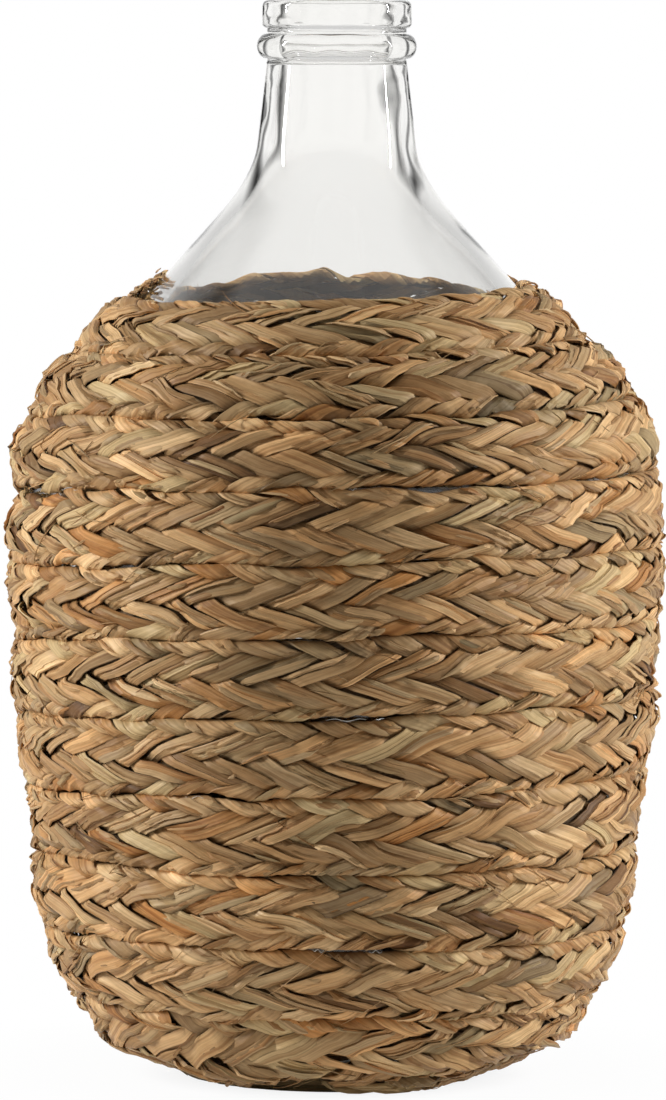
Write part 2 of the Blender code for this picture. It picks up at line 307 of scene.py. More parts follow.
def side_line(steps):
    """The outside of the glass from the foot up to the ring, as points with the wall at each."""
    foot = (FOOT_RADIUS, 0)
    heel = (HEEL_RADIUS, HEEL_HEIGHT)
    belly = (BELLY_RADIUS, heel[1] + BODY_HEIGHT)
    shoulder = (SHOULDER_RADIUS, belly[1] + SHOULDER_RISE)
    flare = (FLARE_RADIUS, shoulder[1] + CONE_HEIGHT)
    neck_base = (NECK_BASE_RADIUS, flare[1] + FLARE_HEIGHT)
    neck_top = (NECK_TOP_RADIUS, neck_base[1] + NECK_HEIGHT)
    upright = direction(math.pi / 2)
    cone_way = np.subtract(flare, shoulder) / math.dist(flare, shoulder)
    neck_way = np.subtract(neck_top, neck_base) / math.dist(neck_top, neck_base)
    foot_way, body_way = direction(FOOT_ANGLE), direction(BODY_ANGLE)
    curve = bend(foot, foot_way, heel, body_way, HEEL_PULL_SHARE, steps)
    body = bend(heel, body_way, belly, upright, BODY_PULL_SHARE, steps // 2)
    rounding = bend(belly, upright, shoulder, cone_way, SHOULDER_PULL_SHARE, steps)
    cone = np.linspace(shoulder, flare, steps // 2 + 1)
    flared = bend(flare, cone_way, neck_base, neck_way, FLARE_PULL_SHARE, steps)
    neck = np.linspace(neck_base, neck_top, steps // 2 + 1)
    sections = (
        (curve, FOOT_WALL, BODY_WALL),
        (body, BODY_WALL, BODY_WALL),
        (rounding, BODY_WALL, SHOULDER_WALL),
        (cone, SHOULDER_WALL, FLARE_WALL),
        (flared, FLARE_WALL, FLARE_WALL),
        (neck, FLARE_WALL, NECK_WALL),
    )
    points = np.vstack([sections[0][0][:1]] + [line[1:] for line, _, _ in sections])
    walls = [sections[0][1]]
    for line, lower_wall, upper_wall in sections:
        walls.extend(np.linspace(lower_wall, upper_wall, len(line))[1:])
    return points, np.array(walls)


def outward(points):
    """The outward normal at each point of a side line, which runs upwards."""
    ways = np.gradient(points, axis=0)
    ways /= np.linalg.norm(ways, axis=1)[:, None]
    return np.column_stack((ways[:, 1], -ways[:, 0]))


def glass_outline(steps, edge_steps):
    """The half section of the glass: up the inside, over the lip, down the outside and under."""
    side, walls = side_line(steps)
    ring_bottom = side[-1][1]
    ring_top = ring_bottom + RING_HEIGHT
    lip_bottom = ring_top + GROOVE_HEIGHT
    mouth_height = lip_bottom + LIP_HEIGHT
    inner_side = side - outward(side) * walls[:, None]
    level = direction(0)
    floor_top = (0, DOME_HEIGHT + FLOOR_THICKNESS)
    inner_floor = bend(floor_top, level, inner_side[0], level, DOME_PULL_SHARE, steps)
    bore_radius = NECK_TOP_RADIUS - NECK_WALL
    mouth_radius = bore_radius + MOUTH_WIDENING
    inner_edge = (mouth_radius + MOUTH_ROUNDING, mouth_height - MOUTH_ROUNDING)
    bore = np.linspace((bore_radius, ring_bottom), (mouth_radius, lip_bottom), edge_steps)
    mouth_base, mouth_edge = (mouth_radius, lip_bottom), (mouth_radius, inner_edge[1])
    lip_bore = np.linspace(mouth_base, mouth_edge, edge_steps)[1:-1]
    mouth = quarter_ellipse(inner_edge, MOUTH_ROUNDING, MOUTH_ROUNDING, math.pi, edge_steps)
    outer_edge = (LIP_RADIUS - LIP_ROUNDING, mouth_height - LIP_ROUNDING)
    lip_top = quarter_ellipse(outer_edge, LIP_ROUNDING, LIP_ROUNDING, math.pi / 2, edge_steps)
    lip_depth = LIP_RADIUS - NECK_TOP_RADIUS
    lip_corner = (NECK_TOP_RADIUS, lip_bottom + lip_depth)
    lip_under = quarter_ellipse(lip_corner, lip_depth, lip_depth, 0, edge_steps)
    ring_centre = (NECK_TOP_RADIUS, ring_top - RING_HEIGHT / 2)
    ring_reach = RING_RADIUS - NECK_TOP_RADIUS
    ring_over = quarter_ellipse(ring_centre, ring_reach, RING_HEIGHT / 2, math.pi / 2, edge_steps)
    ring_under = quarter_ellipse(ring_centre, ring_reach, RING_HEIGHT / 2, 0, edge_steps)
    foot_inside = (FOOT_RADIUS - FOOT_LAND, 0)
    dome = bend(foot_inside, -level, (0, DOME_HEIGHT), -level, DOME_PULL_SHARE, steps)
    inside = (inner_floor[:-1], inner_side[:-1], bore, lip_bore)
    outside = (mouth, lip_top, lip_under, ring_over, ring_under[1:-1], side[::-1], dome)
    return np.vstack((*inside, *outside))


class Winding:
    """The course of the band: its seams as distances along the side line, by the angle wound."""

    def __init__(self):
        self.points, _ = side_line(WALK_STEPS)
        self.normals = outward(self.points)
        steps = np.linalg.norm(np.diff(self.points, axis=0), axis=1)
        self.reach = np.concatenate(((0,), np.cumsum(steps)))
        cone_top = HEEL_HEIGHT + BODY_HEIGHT + SHOULDER_RISE + CONE_HEIGHT
        self.bottom = PLAIT_THICKNESS + FOOT_MARGIN
        self.top = np.interp(cone_top, self.points[:, 1], self.reach) - BARE_CONE
        rows = (self.top - self.bottom) / (PLAIT_WIDTH + ROW_GAP)
        wound = round(rows) * FULL_TURN - (START_AZIMUTH - END_AZIMUTH)
        loops = round(wound / (FULL_TURN / LOOP_POINTS))
        self.end = START_AZIMUTH + loops * FULL_TURN / LOOP_POINTS
        self.start_seam = self.bottom + START_WIDTH
        free_rise = self.top - END_WIDTH - self.start_seam
        drift = self.sway(self.end, self.top) - self.sway(START_AZIMUTH, self.start_seam)
        self.rise = (free_rise - drift) / (self.end - FULL_TURN - START_AZIMUTH)
        self.angles = np.arange(START_AZIMUTH - SPARE_ANGLE, self.end + SPARE_ANGLE, WALK_ANGLE)
        lower, upper = self.edges(self.angles)
        middle = (lower + upper) / 2
        radius = np.interp(middle, self.reach, self.points[:, 0]) + PLAIT_THICKNESS / 2
        steps = np.hypot(radius[1:] * np.diff(self.angles), np.diff(middle))
        self.lengths = np.concatenate(((0,), np.cumsum(steps)))
        self.lengths -= np.interp(START_AZIMUTH, self.angles, self.lengths)
        self.length = np.interp(self.end, self.angles, self.lengths)

    def sway(self, angle, reach):
        """How far a row laid by hand strays from its even climb."""
        change = np.clip((reach - SWAY_CHANGE_FROM) / (SWAY_CHANGE_TO - SWAY_CHANGE_FROM), 0, 1)
        sideways = LOW_ROW_SWAY + (HIGH_ROW_SWAY - LOW_ROW_SWAY) * change
        lifted = np.clip((reach - LIFT_FROM) / (LIFT_TO - LIFT_FROM), 0, 1)
        return -sideways * np.cos(angle) - FRONT_LIFT * np.sin(math.pi * lifted) * np.sin(angle)

    def seam(self, angle):
        """The upper edge of the row that passes this angle."""
        even = self.start_seam + self.rise * (angle - START_AZIMUTH)
        return even + self.sway(angle, even) - self.sway(START_AZIMUTH, self.start_seam)

    def edges(self, angle):
        """The band's lower and upper edge at this angle. Its first turn droops to the bottom."""
        below = angle - FULL_TURN
        risen = np.clip(1 - (START_AZIMUTH - below) / START_DROOP, 0, 1)
        lower = self.bottom + np.maximum(self.seam(below) - self.bottom, 0) * risen
        upper = np.minimum(self.seam(angle), self.top)
        return lower + ROW_GAP / 2, upper - ROW_GAP / 2

    def on_glass(self, angle, reach, height):
        """Points at these angles, distances up the side line and heights over the glass."""
        radius, z = (np.interp(reach, self.reach, column) for column in self.points.T)
        across, up = (np.interp(reach, self.reach, column) for column in self.normals.T)
        radius = radius + across * height
        x, y = radius * np.cos(angle), radius * np.sin(angle)
        return np.stack((x, y, z + up * height), axis=-1)


def length_setting(name, description, default, precision=4):
    return FloatProperty(
        name=name, description=description, default=default, unit="LENGTH", precision=precision
    )


def colour_setting(name, description, default):
    return FloatVectorProperty(
        name=name, description=description, default=default, subtype="COLOR", min=0, max=1
    )


class GlassSettings(bpy.types.PropertyGroup):
    tint: colour_setting("Tint", "Colour that deep glass takes on", (0.81, 0.80, 0.73))
    tint_density: FloatProperty(
        name="Tint density", description="How strongly deep glass is tinted", default=12, min=0
    )
    ripple: length_setting("Ripple inside", "How far the inner wall strays from true", 0.00035, 5)
    outer_ripple: length_setting(
        "Ripple outside", "How far the outer wall strays from true", 0.00008, 5
    )
    segments: IntProperty(
        name="Segments", description="Steps round the turned glass", default=160, min=24, max=360
    )


class PlaitSettings(bpy.types.PropertyGroup):
    cell_length: length_setting(
        "Cell length", "How far along the band one crossing lies from the next", 0.0086
    )
    leaf_thickness: length_setting(
        "Leaf thickness", "Thickness of a folded leaf in the middle", 0.0010
    )
    fibres: IntProperty(name="Fibres", description="Number of loose fibres", default=420, min=1)
    seed: IntProperty(name="Seed", description="Choice of the leaves", default=7, min=0)
    pale: colour_setting("Pale leaf", "Colour of the palest leaves", (0.73, 0.503, 0.262))
    tan: colour_setting("Tan leaf", "Colour of most leaves", (0.57, 0.340, 0.150))
    rust: colour_setting("Rust leaf", "Colour of the sun-burnt leaves", (0.45, 0.205, 0.06))
    grey: colour_setting("Grey-green leaf", "Colour of leaves cut green", (0.385, 0.303, 0.158))


class StageSettings(bpy.types.PropertyGroup):
    lens: FloatProperty(
        name="Lens", description="Focal length, in millimetres on a 36 mm long side", default=251.8
    )
    distance: length_setting("Camera distance", "From the bottle's axis", 3.217)
    eye_height: length_setting("Eye height", "Height of the camera over the floor", 0.445)
    side_light: FloatProperty(
        name="Side light", description="Power of each side lamp", default=23.5, unit="POWER"
    )
    fill: FloatProperty(
        name="Fill", description="Level of the even light from all round", default=0.07, min=0
    )


def placed(name, data):
    """An object of the scene that shows this data."""
    thing = bpy.data.objects.new(name, data)
    bpy.context.scene.collection.objects.link(thing)
    return thing


def mesh_from(shape, name):
    """A mesh made from this shape, which is freed."""
    mesh = bpy.data.meshes.new(name)
    shape.to_mesh(mesh)
    shape.free()
    return mesh


def vertex_places(mesh):
    places = np.empty(len(mesh.vertices) * 3, np.float32)
    mesh.vertices.foreach_get("co", places)
    return places.reshape(-1, 3)


def new_piece(mesh, material, node):
    """An object of the bottle that rides on its one body and stands for a CAD node."""
    mesh.materials.append(material)
    piece = placed(mesh.name, mesh)
    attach(piece, BODY)
    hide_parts(node)


class Graph:
    """Adds nodes to a node tree and joins them."""

    def __init__(self, tree):
        self.tree = tree

    def feed(self, socket, value):
        """Join an output to this socket, or give it a constant."""
        if isinstance(value, bpy.types.NodeSocket):
            self.tree.links.new(value, socket)
        else:
            socket.default_value = value

    def set(self, node, **values):
        """Feed the sockets that have these names, and set the other names as properties."""
        for key, value in values.items():
            socket = node.inputs.get(key.replace("_", " "))
            if socket is None:
                setattr(node, key, value)
            else:
                self.feed(socket, value)
        return node

    def add(self, kind, **values):
        return self.set(self.tree.nodes.new(kind), **values)

    def out(self, kind, values, output=0, **properties):
        """One output of a new node whose first sockets take these values."""
        node = self.add(kind, **properties)
        for socket, value in zip(node.inputs, values):
            self.feed(socket, value)
        return node.outputs[output]

    def maths(self, operation, *values, clamp=False):
        return self.out("ShaderNodeMath", values, operation=operation, use_clamp=clamp)

    def vectors(self, operation, *values, output="Vector"):
        return self.out("ShaderNodeVectorMath", values, output, operation=operation)

    def remap(self, value, *spans):
        return self.out("ShaderNodeMapRange", (value, *spans))

    def choose(self, factor, first, second):
        """The second shader where the factor is one, and the first where it is nought."""
        return self.out("ShaderNodeMixShader", (factor, first, second))

    def mix(self, kind, factor, first, second):
        node = self.add("ShaderNodeMix", data_type="RGBA", blend_type=kind)
        for index, value in ((0, factor), (6, first), (7, second)):
            self.feed(node.inputs[index], value)
        return node.outputs[2]

    def ramp(self, value, stops):
        """Colours along the value, from stops of a position and a colour each."""
        node = self.add("ShaderNodeValToRGB", Fac=value)
        elements = node.color_ramp.elements
        elements[0].position, elements[-1].position = stops[0][0], stops[-1][0]
        for position, _ in stops[1:-1]:
            elements.new(position)
        for element, (_, colour) in zip(elements, stops):
            element.color = (*colour, 1)
        return node.outputs[0]

    def rays(self):
        """Whether a ray comes straight from the camera, and whether it comes by way of glass."""
        path = self.add("ShaderNodeLightPath").outputs
        by_glass = self.maths("MAXIMUM", path["Is Glossy Ray"], path["Is Transmission Ray"])
        return path["Is Camera Ray"], by_glass


def new_material(name, **looks):
    """A material, its graph and its shader, whose sockets take these looks."""
    material = bpy.data.materials.new(name)
    material.use_nodes = True
    graph = Graph(material.node_tree)
    return material, graph, graph.set(graph.tree.nodes["Principled BSDF"], **looks)


def glass_material(settings):
    material, graph, shader = new_material(
        "rippled_glass",
        Base_Color=(0.982, 0.979, 0.970, 1),
        Roughness=0,
        IOR=1.5,
        Transmission_Weight=1,
    )
    tint = (*settings.tint, 1)
    depth = graph.add("ShaderNodeVolumeAbsorption", Color=tint, Density=settings.tint_density)
    # Lamplight falls through the clear wall onto the inside of the cover
    shadow_ray = graph.add("ShaderNodeLightPath").outputs["Is Shadow Ray"]
    clear = graph.add("ShaderNodeBsdfTransparent", Color=(0.9, 0.9, 0.88, 1))
    surface = graph.choose(shadow_ray, shader.outputs[0], clear.outputs[0])
    graph.set(graph.tree.nodes["Material Output"], Surface=surface, Volume=depth.outputs[0])
    return material


class DEMIJOHN_OT_glass(bpy.types.Operator):
    """Turn the bottle from its half section, with the ripple of blown glass"""

    bl_idname = "demijohn.glass"
    bl_label = "Glass bottle"

    def execute(self, context):
        settings = context.scene.demijohn_glass
        shape = bmesh.new()
        outline = glass_outline(OUTLINE_STEPS, EDGE_STEPS)
        line = [shape.verts.new((radius, 0, height)) for radius, height in outline]
        edges = [shape.edges.new(pair) for pair in zip(line, line[1:])]
        bmesh.ops.spin(
            shape,
            geom=line + edges,
            cent=(0, 0, 0),
            axis=(0, 0, 1),
            angle=FULL_TURN,
            steps=settings.segments,
            use_merge=True,
        )
        bmesh.ops.remove_doubles(shape, verts=shape.verts, dist=WELD_DISTANCE)
        bmesh.ops.recalc_face_normals(shape, faces=shape.faces)
        mesh = mesh_from(shape, "bottle_of_glass")
        self.ripple(mesh, settings)
        mesh.shade_smooth()
        new_piece(mesh, glass_material(settings), "glass_bottle")
        return {"FINISHED"}

    @staticmethod
    def ripple(mesh, settings):
        """Move the inner and outer wall by slow waves of their own."""
        points = vertex_places(mesh).astype(float)
        x, y, height = points.T
        radius, angle = np.hypot(x, y), np.arctan2(y, x)
        side, walls = side_line(WALK_STEPS)
        order = np.argsort(side[:, 1])
        within = radius < np.interp(height, side[order, 1], (side[:, 0] - walls / 2)[order])
        rng = np.random.default_rng(RIPPLE_SEED)
        waves = np.zeros((2, len(points)))
        for wave in waves:
            for turns in RIPPLE_TURNS:
                phase = rng.uniform(0, FULL_TURN)
                twist, rise = rng.uniform(*RIPPLE_TWIST), rng.uniform(*RIPPLE_RISE)
                around = np.sin(turns * angle + twist * height + phase)
                wave += around * np.cos(rise * height + 2 * phase) / RIPPLE_PARTS
        ribbed = np.clip((height - BORE_RIBS_FROM) / BORE_RIBS_FADE, 0, 1) / 2
        waves[0] += ribbed * np.sin(BORE_RIBS_ROUND * angle + 1) * np.sin(BORE_RIBS_UP * height)
        move = np.where(within, settings.ripple * waves[0], settings.outer_ripple * waves[1])
        clear_of_floor = np.clip((height - CALM_FLOOR) / FLOOR_FADE, 0, 1)
        move *= clear_of_floor * np.clip((CALM_RIM - height) / RIM_FADE, 0, 1)
        points[:, :2] *= (1 + move / np.maximum(radius, 0.01))[:, None]
        mesh.vertices.foreach_set("co", points.astype(np.float32).ravel())
        mesh.update()


def smooth_step(x):
    x = np.clip(x, 0, 1)
    return x * x * (3 - 2 * x)


def layer(station):
    """Which layer a strand is in, from -1 under to 1 over, by the cells since its last fold."""
    phase = np.mod(station, TRAVERSE)
    level = np.ones_like(phase)
    for index, crossing in enumerate(CROSSINGS):
        sign = -2 if index % 2 == 0 else 2
        level = level + sign * smooth_step((phase - crossing + LAYER_SLOPE) / (2 * LAYER_SLOPE))
    return level


class Weave:
    """Lays strands in the band: each a straight ribbon, folded over at both edges of the band."""

    MIDDLE_HEIGHT, EDGE_HEIGHT = 0.0064, 0.0043
    MIDDLE_SPREAD, EDGE_SPREAD = 0.0019, 0.0022
    NEAR_FOLD, POKE_REACH = 0.98, 1.6
    # What strays along the band, how far, and the angle from one stray to the next
    WANDERS = {
        "seam": 0.0007,
        "lower edge": 0.0003,
        "upper edge": 0.0003,
        "upper folds": 0.0016,
        "lower folds": 0.0016,
        "ridges": 0.032,
        "top": 0.0013,
        "height": 0.0006,
    }
    WANDER_STEP = math.radians(8)
    GAPS, GAP_WIDTHS, GAP_LENGTHS = 30, (0.0001, 0.0004), (0.04, 0.12)
    # How much of its thickness the band loses at its start, at its end and on its last turn
    THINNED_END = 0.07
    START_LOSS, END_LOSS, END_LOSS_UP = 0.2, 0.25, 0.6
    LAST_TURN_LOSS, LAST_TURN_FADE = 0.42, 0.4
    FLOOR_CLEARANCE = 0.0008
    TOP_DIP = 0.0055
    TOP_RISE = math.radians(75)
    FRONT_FROM, FRONT_FADE = 0.55, 0.4

    def __init__(self, settings):
        self.winding = Winding()
        self.cell = settings.cell_length
        rng = np.random.default_rng(settings.seed)
        first = START_AZIMUTH - FULL_TURN - SPARE_ANGLE
        self.knots = np.arange(first, self.winding.end + FULL_TURN, self.WANDER_STEP)
        spreads = np.array(list(self.WANDERS.values()))[:, None]
        strays = rng.normal(0, 1, (len(spreads), len(self.knots))) * spreads
        self.wanders = dict(zip(self.WANDERS, strays))
        places = rng.uniform(START_AZIMUTH, self.winding.end - FULL_TURN, self.GAPS)
        widths = rng.uniform(*self.GAP_WIDTHS, self.GAPS) * (np.sin(places) < 0)
        lengths = rng.uniform(*self.GAP_LENGTHS, self.GAPS)
        azimuths, heights, open_widths, open_lengths = np.transpose(OPEN_SEAMS)
        open_places = [self.seam_near(*place) for place in zip(np.radians(azimuths), heights)]
        self.gap_places = np.append(places, open_places)
        self.gap_widths = np.append(widths, open_widths)
        self.gap_lengths = np.append(lengths, open_lengths)

    def wander(self, kind, angle):
        """How far this kind strays at this angle."""
        place = (angle - self.knots[0]) / self.WANDER_STEP
        index = place.astype(int)
        values = self.wanders[kind]
        return values[index] + (values[index + 1] - values[index]) * smooth_step(place - index)

    def opening(self, angle):
        """Half the width of the gaps that open in the seam here and there."""
        table = np.arange(self.knots[0], self.knots[-1], 0.01)
        away = (table[:, None] - self.gap_places) / self.gap_lengths
        return np.interp(angle, table, (np.exp(-(away**2)) * self.gap_widths).sum(axis=1))

    def edges(self, angle):
        """The edges of the band as laid: a seam strays as one, and each edge a little by itself."""
        lower, upper = self.winding.edges(angle)
        below = angle - FULL_TURN
        lower = lower + self.wander("seam", below) + self.wander("lower edge", angle)
        lower = lower + self.opening(below)
        upper = upper + self.wander("seam", angle) + self.wander("upper edge", angle)
        upper = upper - self.opening(angle)
        from_end = (self.winding.end - angle) / self.TOP_RISE
        highest = self.winding.top - self.TOP_DIP * smooth_step(from_end)
        return lower, np.minimum(upper, highest + self.wander("top", angle))

    def surface(self, start, station, across, lift, poke):
        """Points of a strand's middle surface, by its stations along and its cells across."""
        length = start + self.cell * (station + across / 2)
        unfolded = station - across / 2
        fold = np.round(unfolded / TRAVERSE)
        beyond = (unfolded - fold * TRAVERSE) / FOLD_REACH
        turning = np.clip(np.abs(beyond), 0, 1)
        rounded = FOLD_REACH * (1 - np.cos(math.pi / 2 * turning))
        from_edge = np.where(turning < 1, rounded, np.abs(beyond) * FOLD_REACH)
        from_edge = from_edge - poke * (1 - smooth_step(from_edge / self.POKE_REACH))
        near_fold = np.abs(station - np.round(station / TRAVERSE) * TRAVERSE) < self.NEAR_FOLD
        side = np.where(near_fold, np.sign(beyond), layer(station))
        level = np.sin(math.pi / 2 * turning) * side
        share = from_edge / TRAVERSE
        share = np.where(np.mod(fold, 2) == 0, 1 - share, share)
        angle = self.angle_at(length)
        length = length + share * self.wander("upper folds", angle)
        length = length + (1 - share) * self.wander("lower folds", angle)
        share = share + 4 * share * (1 - share) * self.wander("ridges", angle)
        crown = 1 - (2 * share - 1) ** 2
        height = self.EDGE_HEIGHT + (self.MIDDLE_HEIGHT - self.EDGE_HEIGHT) * crown
        spread = self.EDGE_SPREAD + (self.MIDDLE_SPREAD - self.EDGE_SPREAD) * crown
        over = (level + 1) / 2
        height = (height + spread * level) * self.thinned(length, share) + lift * over
        height = height + self.wander("height", angle + 2 * share)
        return self.strip(length, share, height), over

    def thinned(self, length, share):
        """The share of its thickness that the band keeps near its ends and its free top edge."""
        share = np.clip(share, 0, 1)
        start = 1 - self.START_LOSS * (1 - smooth_step((length + 0.01) / self.THINNED_END))
        near_end = 1 - smooth_step((self.winding.length - length) / self.THINNED_END)
        end = 1 - near_end * (self.END_LOSS + self.END_LOSS_UP * share)
        to_last_turn = self.angle_at(length) - self.winding.end + FULL_TURN
        last_turn = smooth_step(to_last_turn / self.LAST_TURN_FADE)
        return start * end * (1 - self.LAST_TURN_LOSS * last_turn * share**2)

    def angle_at(self, length):
        return np.interp(length, self.winding.lengths, self.winding.angles)

    def length_at(self, angle):
        return np.interp(angle, self.winding.angles, self.winding.lengths)

    def strip(self, length, share, height):
        """Points by length along the band, share of its width and height over the glass."""
        angle = self.angle_at(length)
        lower, upper = self.edges(angle)
        return self.laid(angle, lower + share * (upper - lower), height)

    def laid(self, angle, reach, height):
        """Points over the glass, swelled at the heel and pressed flat towards the foot."""
        sides = np.interp(reach, FOOT_REACHES, SIDE_HEIGHTS)
        front = np.interp(reach, FOOT_REACHES, FRONT_HEIGHTS)
        facing = smooth_step((-np.sin(angle) - self.FRONT_FROM) / self.FRONT_FADE)
        swell = (sides + (front - sides) * facing) / SIDE_HEIGHTS[-1]
        for azimuth, level, dent in DENTS:
            away = np.mod(angle - math.radians(azimuth) + math.pi, FULL_TURN) - math.pi
            above = reach - np.interp(level, self.winding.points[:, 1], self.winding.reach)
            near = np.exp(-((away / DENT_ANGLE) ** 2) - (above / DENT_REACH) ** 2)
            swell = swell * (1 + dent * near)
        points = self.winding.on_glass(angle, reach, height * swell)
        points[..., 2] = np.maximum(points[..., 2], self.FLOOR_CLEARANCE)
        return points

    def seam_near(self, azimuth, height):
        """The wound angle at which the seam passes nearest to this place."""
        angles = azimuth + FULL_TURN * np.arange(13)
        reaches = self.winding.seam(angles)
        heights = np.interp(reaches, self.winding.reach, self.winding.points[:, 1])
        return angles[np.argmin(np.abs(heights - height))]


def thicken(points, half, hidden_side):
    """Closed rings round ribbons of points, out by half on one side and in by it on the other."""
    along = np.gradient(points, axis=-3)
    across = np.gradient(points, axis=-2)
    normals = np.cross(along, across)
    normals /= np.maximum(np.linalg.norm(normals, axis=-1), 1e-12)[..., None]
    offset = normals * half[..., None]
    return np.concatenate((points + offset, (points - offset)[..., hidden_side, :]), axis=-2)


def around(grid, hidden_side):
    return np.concatenate((grid, grid[..., hidden_side, :]), axis=-2)


def wrap_rings(name, rings, facts, run=None):
    """Closed tubes of run rings each through rings of points, with named facts at the points."""
    rings = rings.reshape(-1, *rings.shape[-2:])
    count, corners = rings.shape[:2]
    run = run or count
    shape = bmesh.new()
    bmesh.ops.create_grid(shape, x_segments=count - 1, y_segments=corners, size=1)
    mesh = mesh_from(shape, name)
    flat = vertex_places(mesh)
    ring = np.round((flat[:, 0] + 1) / 2 * (count - 1)).astype(int)
    corner = np.round((flat[:, 1] + 1) / 2 * corners).astype(int) % corners
    mesh.vertices.foreach_set("co", rings[ring, corner].astype(np.float32).ravel())
    for fact, values in facts.items():
        attribute = mesh.attributes.new(fact, "FLOAT_VECTOR", "POINT")
        values = values.reshape(-1, corners, 3)
        attribute.data.foreach_set("vector", values[ring, corner].astype(np.float32).ravel())
    shape = bmesh.new()
    shape.from_mesh(mesh)
    if run < count:
        tube = ring // run
        tubes = ((face, {tube[vert.index] for vert in face.verts}) for face in shape.faces)
        between = [face for face, found in tubes if len(found) > 1]
        bmesh.ops.delete(shape, geom=between, context="FACES_ONLY")
        loose = [edge for edge in shape.edges if not edge.link_faces]
        bmesh.ops.delete(shape, geom=loose, context="EDGES")
    bmesh.ops.remove_doubles(shape, verts=shape.verts, dist=LEAF_WELD_DISTANCE)
    bmesh.ops.holes_fill(shape, edges=[edge for edge in shape.edges if edge.is_boundary])
    bmesh.ops.recalc_face_normals(shape, faces=shape.faces)
    shape.to_mesh(mesh)
    shape.free()
    mesh.shade_smooth()
    mesh.set_sharp_from_angle(angle=LEAF_SHARP_ANGLE)
    return mesh


class Choices:
    """A strand's choices, one for each fold and one for each long float, held while it shows."""

    def __init__(self, rng, folds, station):
        self.rng, self.station = rng, station
        starts = np.arange(folds[0], folds[1] + 1) * TRAVERSE
        self.at = np.sort(np.concatenate([starts + shown for shown in SHOWN_AT]))
        self.count = len(self.at) // 2

    def held(self, spread, mean=0, low=-math.inf, high=math.inf, columns=None):
        """One value for each shown stretch."""
        size = self.count if columns is None else (self.count, columns)
        values = np.clip(self.rng.normal(mean, spread, size), low, high)
        return self.along(np.repeat(values, 2, axis=0))

    def trait(self, name):
        return self.held(*LEAF_TRAITS[name])

    def free(self, spread):
        """A value at either end of each shown stretch."""
        return self.along(self.rng.normal(0, spread, len(self.at)))

    def evenly(self):
        """A share from 0 to 1 for each shown stretch."""
        return self.along(np.repeat(self.rng.uniform(0, 1, self.count), 2))

    def along(self, values):
        values = values.reshape(len(self.at), -1)
        return np.hstack([np.interp(self.station, self.at, column) for column in values.T])


def leaf_material(settings):
    material, graph, shader = new_material("dried_leaf", Specular_IOR_Level=0.25)
    leaf, tint = (
        graph.add("ShaderNodeAttribute", attribute_name=name).outputs["Vector"]
        for name in ("leaf", "tint")
    )
    tone, grey, value = graph.add("ShaderNodeSeparateXYZ", Vector=tint).outputs

    def noise(detail, *stretch):
        """Noise that is finer by these factors along the leaf, across it and from leaf to leaf."""
        grain = graph.vectors("MULTIPLY", leaf, stretch)
        cloud = graph.add(
            "ShaderNodeTexNoise", Vector=grain, Scale=1, Detail=detail, Roughness=0.6
        )
        return cloud.outputs["Fac"]

    fibres = noise(3, 25, 1500, 40)
    blotches = noise(3, 70, 160, 40)
    streaks = noise(1, 6, 700, 40)
    crumple = noise(2, 230, 260, 40)
    shift = graph.remap(blotches, *NOISE_SPAN, -0.16, 0.16)
    toned = graph.ramp(
        graph.maths("ADD", tone, shift, clamp=True),
        ((0, settings.pale), (0.48, settings.tan), (1, settings.rust)),
    )
    greyed = graph.mix("MIX", grey, toned, (*settings.grey, 1))
    lines = graph.mix("MIX", graph.remap(fibres, *NOISE_SPAN, 0, 1), LINE_DARK, LINE_LIGHT)
    lined = graph.mix("MULTIPLY", 1.0, greyed, lines)
    streak = graph.remap(streaks, *STREAK_SPAN, 0, 0.65)
    streaked = graph.mix("MULTIPLY", streak, lined, STREAK_COLOUR)
    # The value holds each leaf's own lightness and the painted shade where it dives under another
    # and along its edges
    shade = graph.maths("MAXIMUM", graph.maths("MULTIPLY_ADD", value, 0.5, 0.72), 0.22)
    shaded = graph.add("ShaderNodeVectorMath", operation="SCALE", Vector=streaked, Scale=shade)
    rough = graph.remap(fibres, *NOISE_SPAN, 0.62, 0.46)
    height = graph.maths("ADD", fibres, graph.maths("MULTIPLY", streaks, 1.2))
    height = graph.maths("MULTIPLY_ADD", crumple, 3.0, height)
    bump = graph.add("ShaderNodeBump", Strength=0.55, Distance=0.0003, Height=height)
    graph.set(shader, Base_Color=shaded.outputs[0], Roughness=rough, Normal=bump.outputs[0])
    return material


def leaf_facts(along, across, grain, tint, hidden_side):
    """Where each point lies on its leaf, and the leaf's tone, greyness and value."""
    shape = np.broadcast_shapes(along.shape, across.shape, grain.shape)
    leaf = np.stack([np.broadcast_to(grid, shape) for grid in (along, across, grain)], axis=-1)
    tint = np.broadcast_to(tint, (*shape, 3)).astype(np.float32)
    return {"leaf": around(leaf, hidden_side), "tint": around(tint, hidden_side)}


def pickers(rng, count):
    """Choices for count strips each: evenly between two limits, and strays round nought."""
    return partial(rng.uniform, size=(count, 1)), partial(rng.normal, 0, size=(count, 1))


def tones(rng, mean, spread, count, most=1):
    return np.clip(rng.normal(mean, spread, count), 0, most)


def strip_mesh(name, rng, points, along, width, thickness, tone, grey):
    """Thin strips through rings of four points each, every strip with its own grain and shade."""
    count, rings = points.shape[:2]
    half = rng.uniform(*thickness, (count, 1, 1)) * (1 - SLIVER_SHARES**4) ** 0.5
    half = np.broadcast_to(half, points.shape[:3])
    facts = leaf_facts(
        along[..., None],
        SLIVER_SHARES * width,
        rng.uniform(0, 60, (count, 1, 1)),
        np.stack((tone, grey, rng.random(count)), axis=-1)[:, None, None],
        SLIVER_HIDDEN_SIDE,
    )
    return wrap_rings(name, thicken(points, half, SLIVER_HIDDEN_SIDE), facts, rings)


